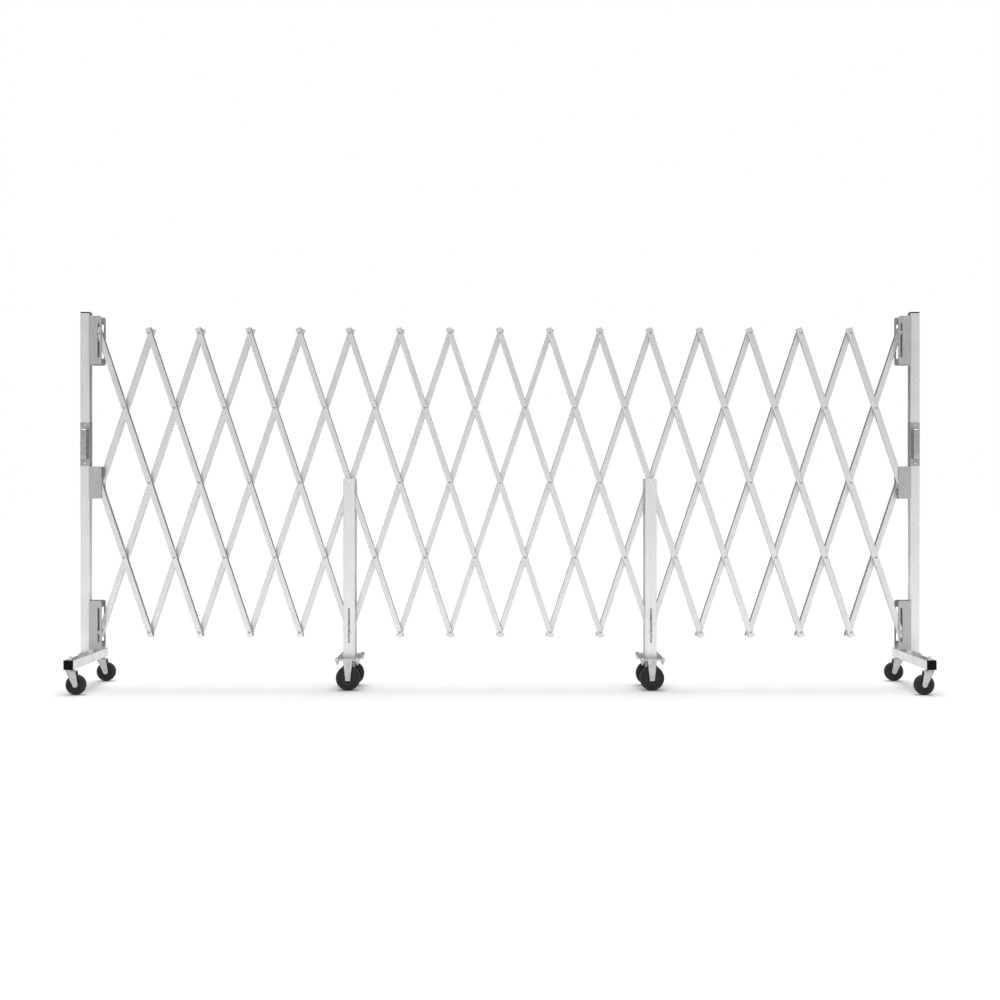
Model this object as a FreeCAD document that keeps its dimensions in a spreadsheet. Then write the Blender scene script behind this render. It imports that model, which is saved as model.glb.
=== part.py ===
"""Expanding crowd control barrier on casters.

A lattice of crossed aluminium laths hangs between two end frames and folds like a scissor.
X runs along the barrier, Y is its depth with the front towards -Y, and Z is up.
The origin is on the floor, under the middle of the lattice.
"""
import FreeCAD
import Part
import math
import os
import re
import Sketcher
from FreeCAD import Placement, Rotation, Vector

SIZES = [
    # the lattice; lengths in millimetres, angles in degrees from upright
    ("cell_count", 16, "diamonds from one end frame to the other"),
    ("lath_segment", 325.0, "distance between neighbouring pivots on a lath"),
    ("rest_angle", 18.5, "lean of the laths as the barrier stands"),
    ("folded_angle", 3.0, "lean with the lattice pushed together"),
    ("spread_angle", 36.5, "lean with the lattice pulled out"),
    ("lath_width", 22.5, "face width of the rectangular lath tube"),
    ("lath_depth", 25.0, "depth of the lath tube, front to rear"),
    ("lath_wall", 2.0, "wall of the lath tube"),
    ("lath_corner", 2.0, "outer corner radius of the lath tube"),
    ("lath_overhang", 21.0, "lath length beyond its end pivot"),
    ("layer_gap", 4.0, "gap between the front and rear layers of laths"),
    ("cut_margin", 1.0, "reach of a drill or cutter past the wall it cuts"),
    # rivets and pins
    ("pin_diameter", 8.0, "shank of every rivet and pivot pin"),
    ("pin_clearance", 0.1, "radial clearance of a pin in its hole"),
    ("head_diameter", 11.5, "rivet and pin head"),
    ("head_height", 1.3, "rivet and pin head"),
    ("head_clearance", 0.2, "gap under a head, and beside a collar"),
    ("collar_diameter", 15.0, "collar that keeps two pieces on one pin apart"),
    ("side_clearance", 2.5, "gap between the lattice and what stands beside it"),
    # square tubes of the end frames
    ("tube_side", 38.1, "square tube of post and foot"),
    ("tube_wall", 2.0, "wall of the square tube"),
    ("tube_corner", 2.0, "outer corner radius of the square tube"),
    ("post_pivot_gap", 40.5, "from the end pivots to the post"),
    ("post_top_margin", 12.4, "post above its upper bracket"),
    ("foot_length", 480.0, "foot tube, front to rear"),
    ("cap_height", 5.0, "plastic cap above the post"),
    ("plug_height", 3.0, "plastic plug proud of the foot tube"),
    ("plug_depth", 18.0, "cap and plug inside their tube"),
    ("plug_clearance", 0.2, "gap between a plug and the tube wall"),
    ("plug_corner", 1.5, "rounding of caps and plugs"),
    # brackets on the posts
    ("bracket_wall", 2.5, "sheet of the U brackets"),
    ("bracket_reach", 52.5, "bracket from the post towards the lattice"),
    ("bracket_bend", 3.0, "outer bend radius of a bracket"),
    ("bracket_corner", 8.0, "rounded free corners of the flanges"),
    ("guide_bracket_height", 200.0, "upper and lower slotted brackets"),
    ("pivot_bracket_height", 133.0, "middle bracket"),
    ("bracket_foot_gap", 21.2, "lower bracket above the foot tube"),
    ("slot_clearance", 0.3, "clearance of a pin in its slot, each side"),
    ("slot_margin", 4.2, "slot beyond the pin at each end of its travel"),
    # foot plate and its bolts
    ("foot_plate_length", 90.0, "plate between post and foot, front to rear"),
    ("foot_plate_height", 6.0, "plate between post and foot"),
    ("spigot_height", 40.0, "block on the foot plate, inside the post"),
    ("spigot_clearance", 0.3, "gap between spigot and post wall"),
    ("bolt_diameter", 6.0, "bolts of the foot plate and the post"),
    ("bolt_head_width", 10.0, "across the flats"),
    ("bolt_head_height", 4.0, "hexagon head"),
    ("foot_bolt_inset", 9.0, "bolt centre from the plate's end"),
    ("foot_bolt_tail", 8.0, "foot bolt inside the foot tube"),
    ("post_bolt_length", 20.0, "post bolt without its head"),
    ("post_bolt_rise", 8.5, "post bolt above the foot plate"),
    # pull handle on each post
    ("handle_plate_height", 180.0, "backing plate"),
    ("handle_plate_wall", 1.5, "backing plate sheet"),
    ("handle_plate_wrap", 34.0, "plate round the inner side of the post"),
    ("handle_rise", 2.0, "plate above the middle bracket"),
    ("grip_width", 20.0, "strap of the grip"),
    ("grip_wall", 3.0, "strap of the grip"),
    ("grip_height", 124.0, "grip, end to end"),
    ("grip_reach", 31.0, "grip proud of its plate"),
    ("grip_bend", 10.0, "outer bend radius of the grip"),
    ("grip_shift", 4.0, "grip off the post's middle, towards the lattice"),
    ("screw_diameter", 5.0, "handle screws"),
    ("screw_head_diameter", 9.5, "handle screws"),
    ("screw_head_height", 2.4, "handle screws"),
    ("screw_inset", 12.0, "screw centre from the plate's end"),
    ("screw_tail", 6.0, "screw inside the post"),
    # swivel casters under the foot tubes
    ("end_wheel_diameter", 81.0, "swivel caster wheel"),
    ("end_wheel_width", 25.0, "swivel caster wheel"),
    ("end_headroom", 20.7, "from the wheel's top to the foot tube"),
    ("stem_inset", 27.0, "caster stem from the end of the foot tube"),
    ("trail", 22.5, "wheel axle off the swivel axis"),
    ("stem_diameter", 10.0, "threaded caster stem"),
    ("stem_clearance", 0.15, "radial clearance of stem holes"),
    ("race_diameter", 36.0, "swivel race under the tube"),
    ("race_height", 5.0, "swivel race under the tube"),
    ("race_clearance", 0.4, "gap above and below the swivel plate"),
    ("kingpin_diameter", 18.0, "kingpin head under the swivel plate"),
    ("kingpin_height", 3.0, "kingpin head under the swivel plate"),
    ("washer_diameter", 20.0, "washer on the foot tube"),
    ("washer_height", 2.0, "washer on the foot tube"),
    ("nut_width", 13.0, "stem nut across the flats"),
    ("nut_height", 8.0, "stem nut"),
    ("stem_end", 5.0, "stem proud of its nut"),
    ("end_fork_wall", 2.5, "sheet of the swivel fork"),
    ("end_fork_top", 40.0, "swivel fork width at its top"),
    ("end_fork_shift", 4.0, "top of the fork off the swivel axis"),
    ("end_fork_end", 21.0, "width and rounding of the fork's lower end"),
    # wheels and axles
    ("wheel_side_gap", 1.0, "wheel to fork leg"),
    ("axle_diameter", 8.0, "wheel axle"),
    ("axle_clearance", 0.1, "radial clearance of wheel and fork on the axle"),
    ("axle_head_diameter", 12.0, "axle head"),
    ("axle_head_height", 2.0, "axle head"),
    ("hub_diameter", 30.0, "wheel hub"),
    ("tread_height", 13.0, "solid rim of the wheel, measured inwards"),
    ("web_recess", 5.0, "wheel web below the hub face"),
    ("web_draft", 1.0, "slope of hub and tread towards the web"),
    ("shoulder", 5.0, "bevel of the tread"),
    # middle supports
    ("support_cell", 3, "cells from the middle of the barrier to a support"),
    ("upright_width", 47.5, "support upright, along the barrier"),
    ("upright_depth", 17.0, "support upright, front to rear"),
    ("upright_wall", 2.0, "wall of the upright"),
    ("upright_top_margin", 16.5, "upright above its pivot"),
    ("support_wheel_diameter", 100.0, "fixed caster wheel"),
    ("support_wheel_width", 28.0, "fixed caster wheel"),
    ("support_headroom", 23.0, "from the wheel's top to the caster plate"),
    ("wheel_spacing", 164.0, "between the two wheels of a support"),
    ("support_plate_width", 100.0, "caster plate along the barrier"),
    ("support_plate_length", 236.0, "caster plate, front to rear"),
    ("support_plate_height", 7.0, "caster plate"),
    ("support_plate_corner", 6.0, "rounded corners of the caster plate"),
    ("support_fork_wall", 3.0, "sheet of the fixed fork"),
    ("support_fork_top", 37.5, "fixed fork width at its top"),
    ("support_fork_end", 18.5, "fixed fork width at its lower end"),
    ("support_fork_tail", 10.5, "fork below the axle"),
    ("plate_bolt_diameter", 8.0, "caster plate bolts"),
    ("plate_bolt_head_width", 14.0, "head and cap nut across the flats"),
    ("plate_bolt_head_height", 6.0, "head, and the six-sided part of the cap nut"),
    ("cap_nut_height", 17.5, "cap nut under the plate, down to its tip"),
    ("cap_nut_tip", 5.0, "diameter of the cap nut's blunt tip"),
    ("plate_bolt_inset_x", 9.0, "bolt centre from the plate's side"),
    ("plate_bolt_inset_y", 9.0, "bolt centre from the plate's front or rear"),
]

WORKED = [
    # values that follow from the sizes above
    ("half_cell", "lath_segment * sin(rest_angle)"),
    ("lattice_half_depth", "layer_gap / 2 + lath_depth"),
    ("layer_offset", "layer_gap / 2 + lath_depth / 2"),
    ("side_plane", "lattice_half_depth + side_clearance"),
    ("bracket_half_depth", "side_plane + bracket_wall"),
    ("upright_half_depth", "side_plane + upright_depth"),
    ("collar_half", "layer_gap / 2 - head_clearance"),
    ("slot_width", "pin_diameter + 2 * slot_clearance"),
    ("slot_middle", "lath_segment * (cos(folded_angle) + cos(spread_angle))"),
    ("slot_travel", "2 * lath_segment * (cos(folded_angle) - cos(spread_angle))"),
    ("slot_length", "slot_travel + pin_diameter + 2 * slot_margin"),
    ("foot_bottom", "end_wheel_diameter + end_headroom"),
    ("foot_top", "foot_bottom + tube_side"),
    ("foot_plate_top", "foot_top + foot_plate_height"),
    ("lower_bracket", "foot_top + bracket_foot_gap + guide_bracket_height / 2"),
    ("pivot_row", "lower_bracket + slot_middle"),
    ("upper_bracket", "pivot_row + slot_middle"),
    ("post_top", "upper_bracket + guide_bracket_height / 2 + post_top_margin"),
    ("end_pivot", "cell_count * half_cell"),
    ("post_face", "end_pivot + post_pivot_gap"),
    ("post_middle", "post_face + tube_side / 2"),
    ("stem_y", "foot_length / 2 - stem_inset"),
    ("support_x", "2 * support_cell * half_cell"),
    ("plate_bottom", "support_wheel_diameter + support_headroom"),
    ("plate_top", "plate_bottom + support_plate_height"),
    ("handle_low", "pivot_row + pivot_bracket_height / 2 + handle_rise"),
    ("handle_middle", "handle_low + handle_plate_height / 2"),
    ("plate_front", "-tube_side / 2 - handle_plate_wall"),
    ("swivel_top", "foot_bottom - race_height - race_clearance"),
    ("swivel_bottom", "swivel_top - end_fork_wall"),
    ("axle_x", "trail - post_middle"),
]

LEVELS = (-2, -1, 0, 1, 2)
AXIS_TURN = {
    "x": Rotation(Vector(0, 1, 0), 90),
    "y": Rotation(Vector(1, 0, 0), -90),
    "z": Rotation(),
}
FORWARD_TURN = Rotation(Vector(1, 0, 0), 90)
PLANE_NORMAL = {"XY": Vector(0, 0, 1), "XZ": Vector(0, -1, 0), "YZ": Vector(1, 0, 0)}

doc = FreeCAD.newDocument("crowd_control_barrier")
sheet = doc.addObject("Spreadsheet::Sheet", "Sizes")
for row, (alias, number, meaning) in enumerate(SIZES, start=1):
    sheet.set(f"A{row}", meaning)
    sheet.set(f"B{row}", str(number))
    sheet.setAlias(f"B{row}", alias)
doc.recompute()

worked = doc.addObject("App::VarSet", "Worked")
HOLDER = {alias: "Sizes." for alias, _, _ in SIZES}
HOLDER.update({alias: "Worked." for alias, _ in WORKED})


def full(text):
    """Put the holding object in front of each size name of an expression."""
    return re.sub(r"[a-z_]+", lambda word: HOLDER.get(word[0], "") + word[0], str(text))


def bind(item, prop, text):
    """Bind a property to an expression of size names."""
    item.setExpression(prop, full(text))


def value(text):
    """The number that an expression of size names gives."""
    return float(sheet.evalExpression(full(text)))


for alias, text in WORKED:
    worked.addProperty("App::PropertyFloat", alias, "Worked", text)
    bind(worked, alias, text)
doc.recompute()


def bind_place(item, place):
    """Bind the base point of an item to three expressions."""
    for axis, text in zip("xyz", place):
        bind(item, f"Placement.Base.{axis}", text)


def box(name, size, middle):
    """A box of three sizes round a middle point."""
    item = doc.addObject("Part::Box", name)
    for prop, text in zip(("Length", "Width", "Height"), size):
        bind(item, prop, text)
    bind_place(item, [f"({m}) - ({side}) / 2" for m, side in zip(middle, size)])
    return item


def cylinder(name, diameter, length, start, axis):
    """A cylinder from a start point along an axis."""
    item = doc.addObject("Part::Cylinder", name)
    bind(item, "Radius", f"({diameter}) / 2")
    bind(item, "Height", length)
    item.Placement = Placement(Vector(), AXIS_TURN[axis])
    bind_place(item, start)
    return item


def hexagon(name, width, length, start, axis):
    """A six-sided prism, given across its flats, from a start point along an axis."""
    item = doc.addObject("Part::Prism", name)
    item.Polygon = 6
    bind(item, "Circumradius", f"({width}) / (2 * cos(30))")
    bind(item, "Height", length)
    item.Placement = Placement(Vector(), AXIS_TURN[axis])
    bind_place(item, start)
    return item


def head(name, start, towards_rear):
    """A low bevelled rivet head on a start point, facing the rear or the front."""
    item = doc.addObject("Part::Cone", name)
    bind(item, "Radius1", "head_diameter / 2")
    bind(item, "Radius2", "head_diameter / 2 - head_height")
    bind(item, "Height", "head_height")
    item.Placement = Placement(Vector(), AXIS_TURN["y"] if towards_rear else FORWARD_TURN)
    bind_place(item, start)
    return item


def taper(name, low_diameter, high_diameter, length, start):
    """A cone frustum that stands on a start point."""
    item = doc.addObject("Part::Cone", name)
    bind(item, "Radius1", f"({low_diameter}) / 2")
    bind(item, "Radius2", f"({high_diameter}) / 2")
    bind(item, "Height", length)
    bind_place(item, start)
    return item


def fuse(name, items):
    """One solid from several that touch or overlap."""
    item = doc.addObject("Part::MultiFuse", name)
    item.Shapes = items
    item.Refine = True
    return item


def cut(name, base, tools):
    """A piece with one or more tools taken out of it."""
    tool = tools[0] if len(tools) == 1 else fuse(f"{name}_tools", tools)
    item = doc.addObject("Part::Cut", name)
    item.Base = base
    item.Tool = tool
    return item


def group(name, items, place=None):
    """Separate solids kept together as one sub-part."""
    item = doc.addObject("Part::Compound", name)
    item.Links = items
    if place:
        bind_place(item, place)
    return item


def mirrored(name, source, normal=Vector(1, 0, 0)):
    """A sub-part's mirror image."""
    item = doc.addObject("Part::Mirroring", name)
    item.Source = source
    item.Normal = normal
    return item


def pin_point(sketch, shape, corner, point):
    """Hold a sketch point at two expressions, measured from the sketch's origin."""
    for kind, text in zip(("DistanceX", "DistanceY"), point):
        rule = sketch.addConstraint(Sketcher.Constraint(kind, -1, 1, shape, corner, value(text)))
        bind(sketch, f"Constraints[{rule}]", text)


def outline(sketch, points):
    """A closed outline of straight lines through points given as expressions."""
    spots = [Vector(value(across), value(up), 0) for across, up in points]
    first = sketch.GeometryCount
    for index, spot in enumerate(spots):
        sketch.addGeometry(Part.LineSegment(spot, spots[(index + 1) % len(spots)]))
    for index, point in enumerate(points):
        following = first + (index + 1) % len(points)
        sketch.addConstraint(Sketcher.Constraint("Coincident", first + index, 2, following, 1))
        pin_point(sketch, first + index, 1, point)


def new_sketch(body, name, plane, middle):
    """A sketch on one of the body's own origin planes, moved along the plane's normal."""
    sketch = body.newObject("Sketcher::SketchObject", name)
    support = next(item for item in body.Origin.OriginFeatures if item.Role == f"{plane}_Plane")
    sketch.AttachmentSupport = [(support, "")]
    sketch.MapMode = "FlatFace"
    sign = "-1 * " if plane == "XZ" else ""
    bind(sketch, "AttachmentOffset.Base.z", f"{sign}({middle})")
    return sketch


def round_edges(body, name, base, plane, corners, radius):
    """Fillet the pad edges that rise from the given corners of its outline."""
    normal = PLANE_NORMAL[plane]
    spots = [[value(number) for number in corner] for corner in corners]
    picked = []
    for index, edge in enumerate(base.Shape.Edges, start=1):
        start, end = edge.firstVertex().Point, edge.lastVertex().Point
        along = (end - start).normalize()
        if abs(abs(along.dot(normal)) - 1) > 1e-6:
            continue
        flat = {"XY": (start.x, start.y), "XZ": (start.x, start.z), "YZ": (start.y, start.z)}[plane]
        if any(math.dist(flat, spot) < 1e-4 for spot in spots):
            picked.append(f"Edge{index}")
    fillet = body.newObject("PartDesign::Fillet", name)
    fillet.Base = (base, picked)
    bind(fillet, "Radius", radius)
    doc.recompute()
    return fillet


def padded(name, plane, loops, middle, length, rounds=()):
    """A body padded both ways from a sketch of closed loops, with some long edges rounded."""
    body = doc.addObject("PartDesign::Body", name)
    sketch = new_sketch(body, f"{name}_outline", plane, middle)
    for loop in loops:
        outline(sketch, loop)
    pad = body.newObject("PartDesign::Pad", f"{name}_pad")
    pad.Profile = sketch
    pad.SideType = "Symmetric"
    bind(pad, "Length", length)
    doc.recompute()
    feature = pad
    for index, (corners, radius) in enumerate(rounds):
        feature = round_edges(body, f"{name}_round_{index}", feature, plane, corners, radius)
    return body


def rectangle(width, height, middle=("0", "0")):
    """Four corners of a rectangle round a middle point."""
    across, up = middle
    return [
        (f"({across}) - ({width}) / 2", f"({up}) - ({height}) / 2"),
        (f"({across}) + ({width}) / 2", f"({up}) - ({height}) / 2"),
        (f"({across}) + ({width}) / 2", f"({up}) + ({height}) / 2"),
        (f"({across}) - ({width}) / 2", f"({up}) + ({height}) / 2"),
    ]


def tube(name, plane, size, wall, middle, centre, length, corner):
    """A rectangular tube with rounded outer corners, from its section's plane and middle."""
    outer = rectangle(size[0], size[1], centre)
    inner = rectangle(f"{size[0]} - 2 * {wall}", f"{size[1]} - 2 * {wall}", centre)
    return padded(name, plane, [outer, inner], middle, length, [(outer, corner)])


def slot_cutter(name, x, z, reach):
    """A round-ended upright slot, cut front to rear."""
    straight = "slot_length - slot_width"
    tools = [box(f"{name}_run", ("slot_width", f"2 * ({reach})", straight), (x, "0", z))]
    for end, sign in (("low", "-"), ("high", "+")):
        centre = (x, f"-({reach})", f"{z} {sign} ({straight}) / 2")
        tools.append(cylinder(f"{name}_{end}", "slot_width", f"2 * ({reach})", centre, "y"))
    return fuse(name, tools)


def pin(name, reach, collars=()):
    """A headed pin along Y whose heads sit outside the reach, with collars between pieces."""
    grip = f"({reach}) + head_clearance"
    parts = [
        cylinder(f"{name}_shank", "pin_diameter", f"2 * ({grip})", ("0", f"-({grip})", "0"), "y"),
        head(f"{name}_rear_head", ("0", grip, "0"), True),
        head(f"{name}_front_head", ("0", f"-({grip})", "0"), False),
    ]
    for index, (low, high) in enumerate(collars):
        length = f"({high}) - ({low})"
        start = ("0", low, "0")
        parts.append(cylinder(f"{name}_collar_{index}", "collar_diameter", length, start, "y"))
    return fuse(name, parts)


# ---- laths -------------------------------------------------------------------------------


def lath_tube(name, pivots, layer):
    """An upright lath tube with a hole through it at each pivot; its middle row is at Z = 0."""
    full_lath = pivots == len(LEVELS)
    middle = "0" if full_lath else "lath_segment"
    length = f"{pivots - 1} * lath_segment + 2 * lath_overhang"
    centre = ("0", f"{layer} * layer_offset")
    size = ("lath_width", "lath_depth")
    plain = tube(f"{name}_tube", "XY", size, "lath_wall", middle, centre, length, "lath_corner")
    lowest = -(pivots // 2) if full_lath else 0
    holes = []
    for index in range(pivots):
        start = ("0", "-lattice_half_depth - cut_margin", f"{lowest + index} * lath_segment")
        reach = "2 * (lattice_half_depth + cut_margin)"
        bore = "pin_diameter + 2 * pin_clearance"
        holes.append(cylinder(f"{name}_hole_{index}", bore, reach, start, "y"))
    return cut(name, plain, holes)


LAYERS = {"front": -1, "rear": 1}
lath_shape = {}
for layer_name, layer_sign in LAYERS.items():
    lath_shape[layer_name, "full"] = lath_tube(f"{layer_name}_full_lath", 5, layer_sign)
    lath_shape[layer_name, "half"] = lath_tube(f"{layer_name}_half_lath", 3, layer_sign)

# collars of the pins that carry one lath, in the front or in the rear layer, or both
BETWEEN = ("-collar_half", "collar_half")
BEHIND = ("-layer_gap / 2 + head_clearance", "side_plane - head_clearance")
BEFORE = ("-side_plane + head_clearance", "layer_gap / 2 - head_clearance")
pin_shape = {
    "rivet": pin("crossing_rivet", "lattice_half_depth", [BETWEEN]),
    "bracket_pivot": pin("bracket_pivot_pin", "bracket_half_depth", [BETWEEN]),
    "front_guide": pin("front_guide_pin", "bracket_half_depth", [BEHIND]),
    "rear_guide": pin("rear_guide_pin", "bracket_half_depth", [BEFORE]),
    "support_guide": pin("support_guide_pin", "upright_half_depth", [BETWEEN]),
}
placed_pins = {}


def pin_at(kind, rise):
    """A pin of one kind, moved along its lath by a number of segments."""
    if (kind, rise) not in placed_pins:
        name = f"{kind}_at_{rise + 2}"
        placed_pins[kind, rise] = group(name, [pin_shape[kind]], ("0", "0", f"{rise} * lath_segment"))
    return placed_pins[kind, rise]


CELLS = round(value("cell_count"))
SUPPORT_CELL = round(value("support_cell"))
LAST = CELLS - 1
MIDDLE = (CELLS - 2) // 2
SUPPORTED = (MIDDLE - SUPPORT_CELL, MIDDLE + SUPPORT_CELL)


def levels_of(layer, index):
    """Pivot levels of a lath; the outermost lath of each layer is half as long."""
    falls_short = (index == -1) == (layer == "front")
    if index not in (-1, LAST):
        return LEVELS
    return (-2, -1, 0) if falls_short else (0, 1, 2)


def pin_kind(layer, index, level):
    """The pin that a lath carries at a level, or None where another piece carries it."""
    if layer == "rear":
        guided = (0, -2), (LAST - 1, 2)
        return "rear_guide" if (index, level) in guided else None
    if (index, level) in ((0, 2), (LAST - 1, -2)):
        return "front_guide"
    if level == 0 and index in (-1, LAST):
        return "bracket_pivot"
    if level == 0 and index in SUPPORTED:
        return None
    if level == -2 and index + 1 in SUPPORTED:
        return "support_guide"
    return "rivet"


def lath(layer, index):
    """One lath with its pins, leaning about its middle pivot."""
    levels = levels_of(layer, index)
    length = "full" if levels == LEVELS else "half"
    hanging = levels[0] < 0 and length == "half"
    # a hanging half lath is the standing one turned over
    rise_sign = -1 if hanging else 1
    pieces = [lath_shape[layer, length]]
    for level in levels:
        kind = pin_kind(layer, index, level)
        if kind:
            pieces.append(pin_at(kind, rise_sign * level))
    item = group(f"{layer}_lath_{index + 2:02d}", pieces)
    lean = "-rest_angle" if layer == "front" else "rest_angle"
    item.Placement = Placement(Vector(), Rotation(Vector(0, 1, 0), 1))
    bind(item, "Placement.Rotation.Angle", f"{lean} + 180" if hanging else lean)
    bind_place(item, (f"{2 * (index - MIDDLE)} * half_cell", "0", "pivot_row"))
    return item


nodes = [lath(layer, index) for layer in LAYERS for index in range(-1, CELLS)]

# ---- left end frame; the right one is its mirror image -------------------------------------

POST_X = "-post_middle"


def post():
    """Square post standing on the foot plate."""
    height = "post_top - foot_plate_top"
    middle = "(post_top + foot_plate_top) / 2"
    size = ("tube_side", "tube_side")
    shaft = tube("post_tube", "XY", size, "tube_wall", middle, (POST_X, "0"), height, "tube_corner")
    bolt_z = "foot_plate_top + post_bolt_rise"
    start = ("-post_face - tube_wall - cut_margin", "0", bolt_z)
    bore = "bolt_diameter + 2 * pin_clearance"
    tools = [cylinder("post_bolt_hole", bore, "tube_wall + 2 * cut_margin", start, "x")]
    for index, sign in enumerate(("-", "+")):
        z = f"handle_middle {sign} (handle_plate_height / 2 - screw_inset)"
        start = (POST_X, "-tube_side / 2 - cut_margin", z)
        bore = "screw_diameter + 2 * pin_clearance"
        tools.append(cylinder(f"post_screw_hole_{index}", bore, "tube_wall + 2 * cut_margin", start, "y"))
    return cut("left_post", shaft, tools)


def foot_tube():
    """Square foot tube, front to rear, drilled for the caster stems."""
    size = ("tube_side", "tube_side")
    centre = (POST_X, "foot_bottom + tube_side / 2")
    bar = tube("foot_bar", "XZ", size, "tube_wall", "0", centre, "foot_length", "tube_corner")
    tools = []
    for index, sign in enumerate(("-", "+")):
        bore = "stem_diameter + 2 * stem_clearance"
        start = (POST_X, f"{sign}stem_y", "foot_bottom - cut_margin")
        tools.append(cylinder(f"stem_hole_{index}", bore, "tube_side + 2 * cut_margin", start, "z"))
        bore = "bolt_diameter + 2 * pin_clearance"
        bolt_y = f"{sign}(foot_plate_length / 2 - foot_bolt_inset)"
        start = (POST_X, bolt_y, "foot_top - tube_wall - cut_margin")
        tools.append(cylinder(f"foot_bolt_hole_{index}", bore, "tube_wall + 2 * cut_margin", start, "z"))
    return cut("left_foot_tube", bar, tools)


def bracket(name, height, z, opening):
    """A U bracket open towards the lattice, with a hole or slot through both flanges."""
    back = "-post_face"
    tip = "bracket_reach - post_face"
    inside = "bracket_wall - post_face"
    flanges = [
        (back, "-bracket_half_depth"),
        (tip, "-bracket_half_depth"),
        (tip, "-side_plane"),
        (inside, "-side_plane"),
        (inside, "side_plane"),
        (tip, "side_plane"),
        (tip, "bracket_half_depth"),
        (back, "bracket_half_depth"),
    ]
    bends = [flanges[0], flanges[7]]
    body = padded(f"{name}_channel", "XY", [flanges], z, height, [(bends, "bracket_bend")])
    ends = [(tip, f"{z} - ({height}) / 2"), (tip, f"{z} + ({height}) / 2")]
    round_edges(body, f"{name}_corners", body.Tip, "XZ", ends, "bracket_corner")
    return cut(name, body, [opening])


def guide_brackets():
    """Slotted brackets at top and bottom, and the pivot bracket between them."""
    reach = "bracket_half_depth + cut_margin"
    pieces = []
    for name, z in (("lower_guide_bracket", "lower_bracket"), ("upper_guide_bracket", "upper_bracket")):
        opening = slot_cutter(f"{name}_slot", "-end_pivot", z, reach)
        pieces.append(bracket(name, "guide_bracket_height", z, opening))
    bore = "pin_diameter + 2 * pin_clearance"
    start = ("-end_pivot", f"-({reach})", "pivot_row")
    hole = cylinder("pivot_bracket_hole", bore, f"2 * ({reach})", start, "y")
    pieces.append(bracket("pivot_bracket", "pivot_bracket_height", "pivot_row", hole))
    return group("left_guide_brackets", pieces)


def tube_plug(name, plane, centre, flange_middle, flange_length, plug_middle):
    """A plastic cap: a flange as wide as the tube and a plug that fits inside it."""
    side = rectangle("tube_side", "tube_side", centre)
    flange = padded(f"{name}_flange", plane, [side], flange_middle, flange_length, [(side, "plug_corner")])
    inner = "tube_side - 2 * tube_wall - 2 * plug_clearance"
    core = rectangle(inner, inner, centre)
    plug = padded(f"{name}_core", plane, [core], plug_middle, "plug_depth", [(core, "plug_corner")])
    return fuse(name, [flange, plug])


def end_caps():
    """Cap on the post and a plug in each end of the foot tube."""
    top = tube_plug(
        "post_cap", "XY", (POST_X, "0"), "post_top + cap_height / 2", "cap_height", "post_top - plug_depth / 2"
    )
    centre = (POST_X, "foot_bottom + tube_side / 2")
    plugs = []
    for end, sign in (("front", "-"), ("rear", "")):
        flange = f"{sign}(foot_length / 2 + plug_height / 2)"
        core = f"{sign}(foot_length / 2 - plug_depth / 2)"
        plugs.append(tube_plug(f"{end}_foot_plug", "XZ", centre, flange, "plug_height", core))
    return group("left_end_caps", [top] + plugs)


def pull_handle():
    """Backing plate bent round the post, with a bowed strap grip."""
    outside = "-post_face - tube_side"
    wrap = "-tube_side / 2 + handle_plate_wrap"
    # the plate lies on the front and inner faces of the post
    plate_line = [
        (outside, "plate_front"),
        ("-post_face + handle_plate_wall", "plate_front"),
        ("-post_face + handle_plate_wall", wrap),
        ("-post_face", wrap),
        ("-post_face", "-tube_side / 2"),
        (outside, "-tube_side / 2"),
    ]
    rounds = [([plate_line[1]], "handle_plate_wall")]
    plate = padded(
        "handle_plate", "XY", [plate_line], "handle_middle", "handle_plate_height", rounds
    )
    low = "handle_middle - grip_height / 2"
    high = "handle_middle + grip_height / 2"
    outer = "plate_front - grip_reach"
    inner = f"{outer} + grip_wall"
    strap_line = [
        ("plate_front", low),
        (outer, low),
        (outer, high),
        ("plate_front", high),
        ("plate_front", f"{high} - grip_wall"),
        (inner, f"{high} - grip_wall"),
        (inner, f"{low} + grip_wall"),
        ("plate_front", f"{low} + grip_wall"),
    ]
    rounds = [
        ([strap_line[1], strap_line[2]], "grip_bend"),
        ([strap_line[5], strap_line[6]], "grip_bend - grip_wall"),
    ]
    strap = padded("handle_strap", "YZ", [strap_line], "grip_shift - post_middle", "grip_width", rounds)
    handle = fuse("handle_blank", [plate, strap])
    holes = []
    for index, sign in enumerate(("-", "+")):
        z = f"handle_middle {sign} (handle_plate_height / 2 - screw_inset)"
        start = (POST_X, "plate_front - cut_margin", z)
        bore = "screw_diameter + 2 * pin_clearance"
        holes.append(cylinder(f"handle_hole_{index}", bore, "handle_plate_wall + 2 * cut_margin", start, "y"))
    return cut("pull_handle", handle, holes)


def handle_screws():
    """Two pan-head screws through the handle plate into the post."""
    screws = []
    for index, sign in enumerate(("-", "+")):
        z = f"handle_middle {sign} (handle_plate_height / 2 - screw_inset)"
        start = (POST_X, "plate_front - screw_head_height", z)
        pan = cylinder(f"screw_head_{index}", "screw_head_diameter", "screw_head_height", start, "y")
        length = "handle_plate_wall + tube_wall + screw_tail"
        start = (POST_X, "plate_front", z)
        shank = cylinder(f"screw_shank_{index}", "screw_diameter", length, start, "y")
        screws.append(fuse(f"handle_screw_{index}", [pan, shank]))
    return screws


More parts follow.
